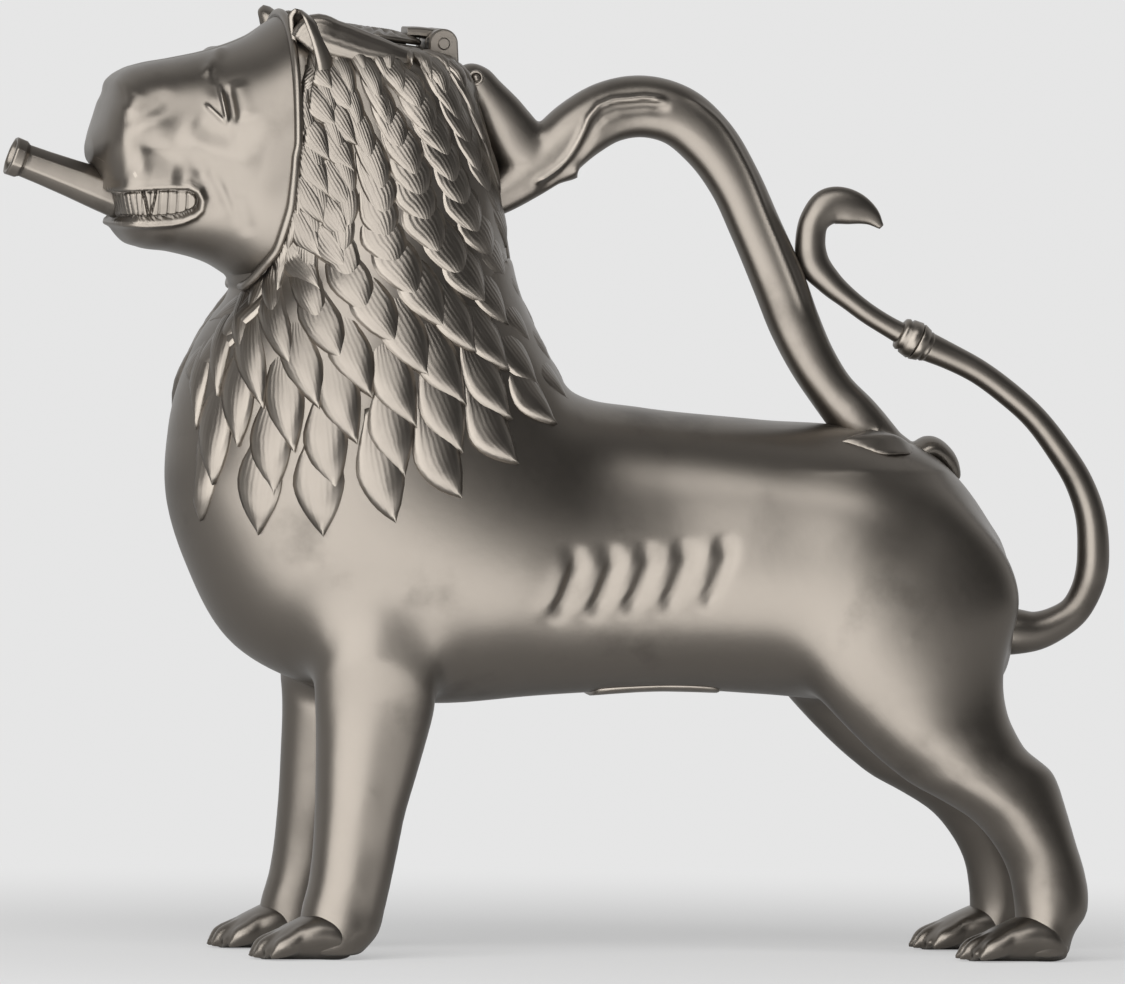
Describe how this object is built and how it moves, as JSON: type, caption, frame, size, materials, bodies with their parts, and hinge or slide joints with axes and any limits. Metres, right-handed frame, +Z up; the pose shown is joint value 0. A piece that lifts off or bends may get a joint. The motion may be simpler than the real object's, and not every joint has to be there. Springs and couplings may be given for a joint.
{
  "type": "lion aquamanile",
  "caption": "Hollow cast bronze water jug in the shape of a standing lion, with a pouring tube in its mouth, a hinged lid on the crown and a dragon handle.",
  "frame": {"origin": "on the floor under the four paws, at the middle of the length from the pouring tube's mouth to the tail's bend and of the width", "axes": "+X towards the tail, +Y towards the lion's right side, +Z up"},
  "size_m": [0.3062, 0.0854, 0.2548],
  "materials": {
    "bronze": "satin, dark brown patina",
    "bronze_plate": "satin, slightly paler"
  },
  "bodies": {
    "vessel": {"body_casting": "bronze", "mane_casting": "bronze", "neck_casting": "bronze", "crown_casting": "bronze", "head_casting": "bronze", "spout": "bronze", "hinge_pin": "bronze", "handle": "bronze", "tail": "bronze", "tail_tip": "bronze", "fore_leg_left": "bronze", "fore_leg_right": "bronze", "hind_leg_left": "bronze", "hind_leg_right": "bronze", "belly_plate": "bronze_plate"},
    "lid": {"lid": "bronze"}
  },
  "joints": [
    {"name": "lid_hinge", "type": "hinge", "parent": "vessel", "child": "lid", "pos_m": [-0.03487, 0, 0.246], "axis": [0, 1, 0], "range_deg": [0, 110]}
  ]
}
